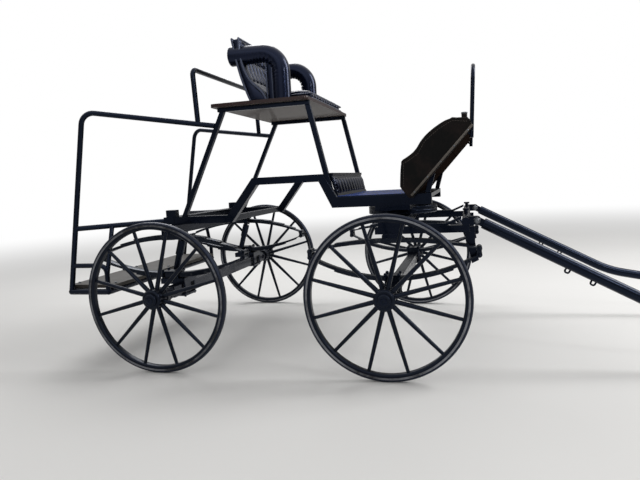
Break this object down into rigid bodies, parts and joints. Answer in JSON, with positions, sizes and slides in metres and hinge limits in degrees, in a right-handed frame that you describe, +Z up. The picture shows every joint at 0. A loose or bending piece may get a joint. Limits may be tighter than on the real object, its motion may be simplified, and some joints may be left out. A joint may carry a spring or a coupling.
{
  "type": "horse drawn carriage",
  "caption": "Open exercise carriage: black spoked wheels, steering fore-carriage, elliptic springs, high padded driver's seat, leaning toe board, rear backstep rails and hinged shafts.",
  "frame": {"origin": "middle of the bounding box at ground level, on the centre plane", "axes": "+X forward along the shafts, +Y to the vehicle's left, +Z up"},
  "size_m": [3.9875, 1.564, 1.552],
  "materials": {
    "black_paint": "gloss",
    "shaft_paint": "gloss",
    "floor_mat": "satin",
    "black_leather": "satin",
    "toe_board": "gloss",
    "wing_leather": "satin",
    "mahogany": "gloss",
    "step_board": "satin",
    "spring_steel": "gloss",
    "tyre": "matte"
  },
  "bodies": {
    "carriage": {"side_frame_left": "black_paint", "side_frame_right": "black_paint", "seat_posts": "black_paint", "seat_rails": "black_paint", "frame_cross_members": "black_paint", "floor_panel": "black_paint", "floor_mat": "floor_mat", "riser": "black_leather", "toe_board": "toe_board", "toe_board_stays": "black_paint", "wing_left": "wing_leather", "wing_right": "wing_leather", "rein_rail": "black_paint", "seat_board": "mahogany", "seat_cushion": "black_leather", "seat_back": "black_leather", "seat_arm_right": "black_leather", "seat_arm_middle": "black_leather", "rear_rail_left": "black_paint", "rear_rail_right": "black_paint", "lower_rails": "black_paint", "backstep_frame": "black_paint", "backstep_board": "step_board", "grab_hoop": "black_paint", "rear_cross_beam": "black_paint", "rear_axle": "black_paint", "rear_spring_left": "spring_steel", "rear_spring_right": "spring_steel", "rear_spring_seats": "black_paint", "dampers": "black_paint", "upper_turntable": "black_paint"},
    "fore_carriage": {"lower_turntable": "black_paint", "futchell_left": "black_paint", "futchell_right": "black_paint", "splinter_bar": "black_paint", "front_spring_left": "spring_steel", "front_spring_right": "spring_steel", "front_spring_clamps": "black_paint", "front_axle": "black_paint"},
    "road_wheel_rear_left": {"wheel_rear_left": "black_paint", "tyre_rear_left": "tyre"},
    "road_wheel_rear_right": {"wheel_rear_right": "black_paint", "tyre_rear_right": "tyre"},
    "road_wheel_front_left": {"wheel_front_left": "black_paint", "tyre_front_left": "tyre"},
    "road_wheel_front_right": {"wheel_front_right": "black_paint", "tyre_front_right": "tyre"},
    "hinged_shaft_left": {"shaft_left": "shaft_paint"},
    "hinged_shaft_right": {"shaft_right": "shaft_paint"}
  },
  "joints": [
    {"name": "steering", "type": "hinge", "parent": "carriage", "child": "fore_carriage", "pos_m": [-0.34377, 0, 0.64], "axis": [0, 0, 1], "range_deg": [-40, 40]},
    {"name": "wheel_rear_left_spin", "type": "hinge", "parent": "carriage", "child": "road_wheel_rear_left", "pos_m": [-1.40377, 0.73, 0.35], "axis": [0, 1, 0], "continuous": true},
    {"name": "wheel_rear_right_spin", "type": "hinge", "parent": "carriage", "child": "road_wheel_rear_right", "pos_m": [-1.40377, -0.73, 0.35], "axis": [0, 1, 0], "continuous": true},
    {"name": "wheel_front_left_spin", "type": "hinge", "parent": "fore_carriage", "child": "road_wheel_front_left", "pos_m": [-0.34377, 0.73, 0.35], "axis": [0, 1, 0], "continuous": true},
    {"name": "wheel_front_right_spin", "type": "hinge", "parent": "fore_carriage", "child": "road_wheel_front_right", "pos_m": [-0.34377, -0.73, 0.35], "axis": [0, 1, 0], "continuous": true},
    {"name": "shaft_left_hinge", "type": "hinge", "parent": "fore_carriage", "child": "hinged_shaft_left", "pos_m": [0.02722, 0.46, 0.64], "axis": [0, -1, 0], "range_deg": [-5, 85]},
    {"name": "shaft_right_hinge", "type": "hinge", "parent": "fore_carriage", "child": "hinged_shaft_right", "pos_m": [0.02722, -0.46, 0.64], "axis": [0, -1, 0], "range_deg": [-5, 85]}
  ]
}
